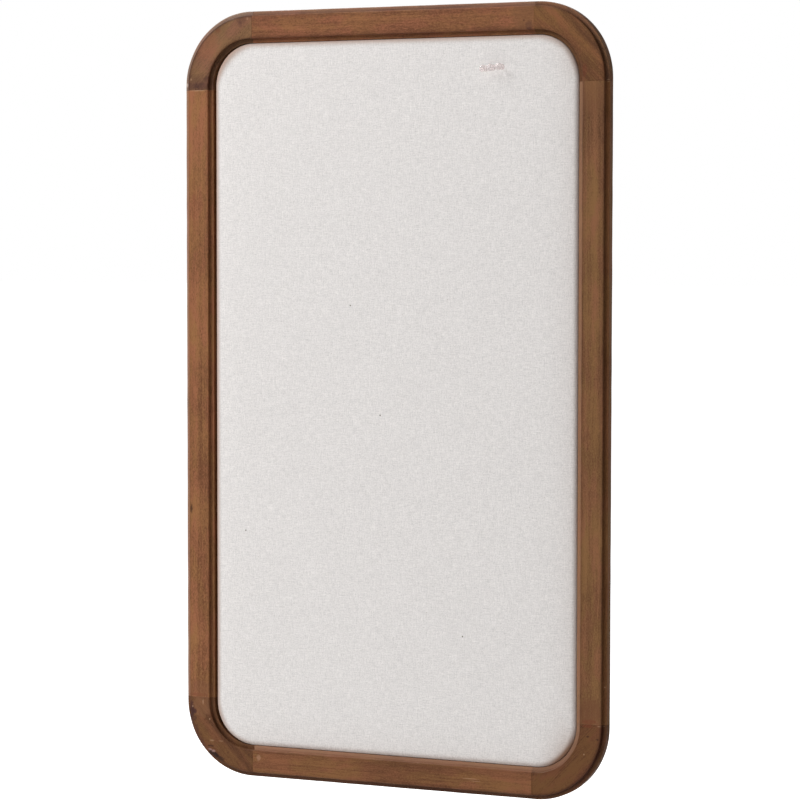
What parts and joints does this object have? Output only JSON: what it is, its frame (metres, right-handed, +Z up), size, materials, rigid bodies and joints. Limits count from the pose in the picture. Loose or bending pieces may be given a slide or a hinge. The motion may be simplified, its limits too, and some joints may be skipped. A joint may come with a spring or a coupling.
{
  "type": "bulletin board",
  "caption": "Tall linen-covered pin board in a stepped, stained wood frame with round corners, ring hangers behind and clear push pins in front.",
  "frame": {"origin": "the middle of the backing panel's rear face, which is flush with the back of the frame; the bumpers reach 6 mm further back, where the wall is", "axes": "+Z up along the board's height, +X to the right seen from the front, -Y out of the pinning surface, +Y towards the wall"},
  "size_m": [0.61, 0.0323, 1.016],
  "materials": {
    "rail_wood": "satin, stained softwood with straight grain",
    "corner_wood": "satin, stained softwood with grain across the corner",
    "dowel_wood": "plain turned beech",
    "hardboard": "smooth pressed fibreboard",
    "softboard": "soft fibreboard that holds pins",
    "batting": "soft white polyester batting",
    "linen": "off-white plain-weave linen with slubs",
    "plated_steel": "bright zinc plating",
    "needle_steel": "polished steel",
    "bumper_rubber": "matt black rubber",
    "clear_plastic": "clear glossy plastic"
  },
  "bodies": {
    "board": {"left_rail": "rail_wood", "right_rail": "rail_wood", "top_rail": "rail_wood", "bottom_rail": "rail_wood", "corner_top_right": "corner_wood", "corner_top_left": "corner_wood", "corner_bottom_left": "corner_wood", "corner_bottom_right": "corner_wood", "dowel_top_right_side_outer": "dowel_wood", "dowel_top_right_side_inner": "dowel_wood", "dowel_top_right_end_outer": "dowel_wood", "dowel_top_right_end_inner": "dowel_wood", "dowel_top_left_side_outer": "dowel_wood", "dowel_top_left_side_inner": "dowel_wood", "dowel_top_left_end_outer": "dowel_wood", "dowel_top_left_end_inner": "dowel_wood", "dowel_bottom_left_side_outer": "dowel_wood", "dowel_bottom_left_side_inner": "dowel_wood", "dowel_bottom_left_end_outer": "dowel_wood", "dowel_bottom_left_end_inner": "dowel_wood", "dowel_bottom_right_side_outer": "dowel_wood", "dowel_bottom_right_side_inner": "dowel_wood", "dowel_bottom_right_end_outer": "dowel_wood", "dowel_bottom_right_end_inner": "dowel_wood", "backing_panel": "hardboard", "core_board": "softboard", "padding": "batting", "linen_cover": "linen", "back_screw_1": "plated_steel", "back_screw_2": "plated_steel", "back_screw_3": "plated_steel", "back_screw_4": "plated_steel", "back_screw_5": "plated_steel", "back_screw_6": "plated_steel", "back_screw_7": "plated_steel", "back_screw_8": "plated_steel", "back_screw_9": "plated_steel", "back_screw_10": "plated_steel", "hanger_left_strap": "plated_steel", "hanger_left_screw_upper": "plated_steel", "hanger_left_screw_lower": "plated_steel", "hanger_right_strap": "plated_steel", "hanger_right_screw_upper": "plated_steel", "hanger_right_screw_lower": "plated_steel", "bumper_top_right": "bumper_rubber", "bumper_top_left": "bumper_rubber", "bumper_bottom_left": "bumper_rubber", "bumper_bottom_right": "bumper_rubber"},
    "left_ring": {"hanger_left_ring": "plated_steel"},
    "right_ring": {"hanger_right_ring": "plated_steel"},
    "pin_1": {"pin_1_head": "clear_plastic", "pin_1_needle": "needle_steel"},
    "pin_2": {"pin_2_head": "clear_plastic", "pin_2_needle": "needle_steel"},
    "pin_3": {"pin_3_head": "clear_plastic", "pin_3_needle": "needle_steel"}
  },
  "joints": [
    {"name": "left_ring_swing", "type": "hinge", "parent": "board", "child": "left_ring", "pos_m": [-0.28875, 0.00275, 0.35], "axis": [1, 0, 0], "range_deg": [0, 180]},
    {"name": "right_ring_swing", "type": "hinge", "parent": "board", "child": "right_ring", "pos_m": [0.28875, 0.00275, 0.35], "axis": [1, 0, 0], "range_deg": [0, 180]},
    {"name": "pin_1_pull", "type": "slide", "parent": "board", "child": "pin_1", "axis": [0, -1, 0], "range_m": [0, 0.02]},
    {"name": "pin_2_pull", "type": "slide", "parent": "board", "child": "pin_2", "axis": [0, -1, 0], "range_m": [0, 0.02]},
    {"name": "pin_3_pull", "type": "slide", "parent": "board", "child": "pin_3", "axis": [0, -1, 0], "range_m": [0, 0.02]}
  ]
}
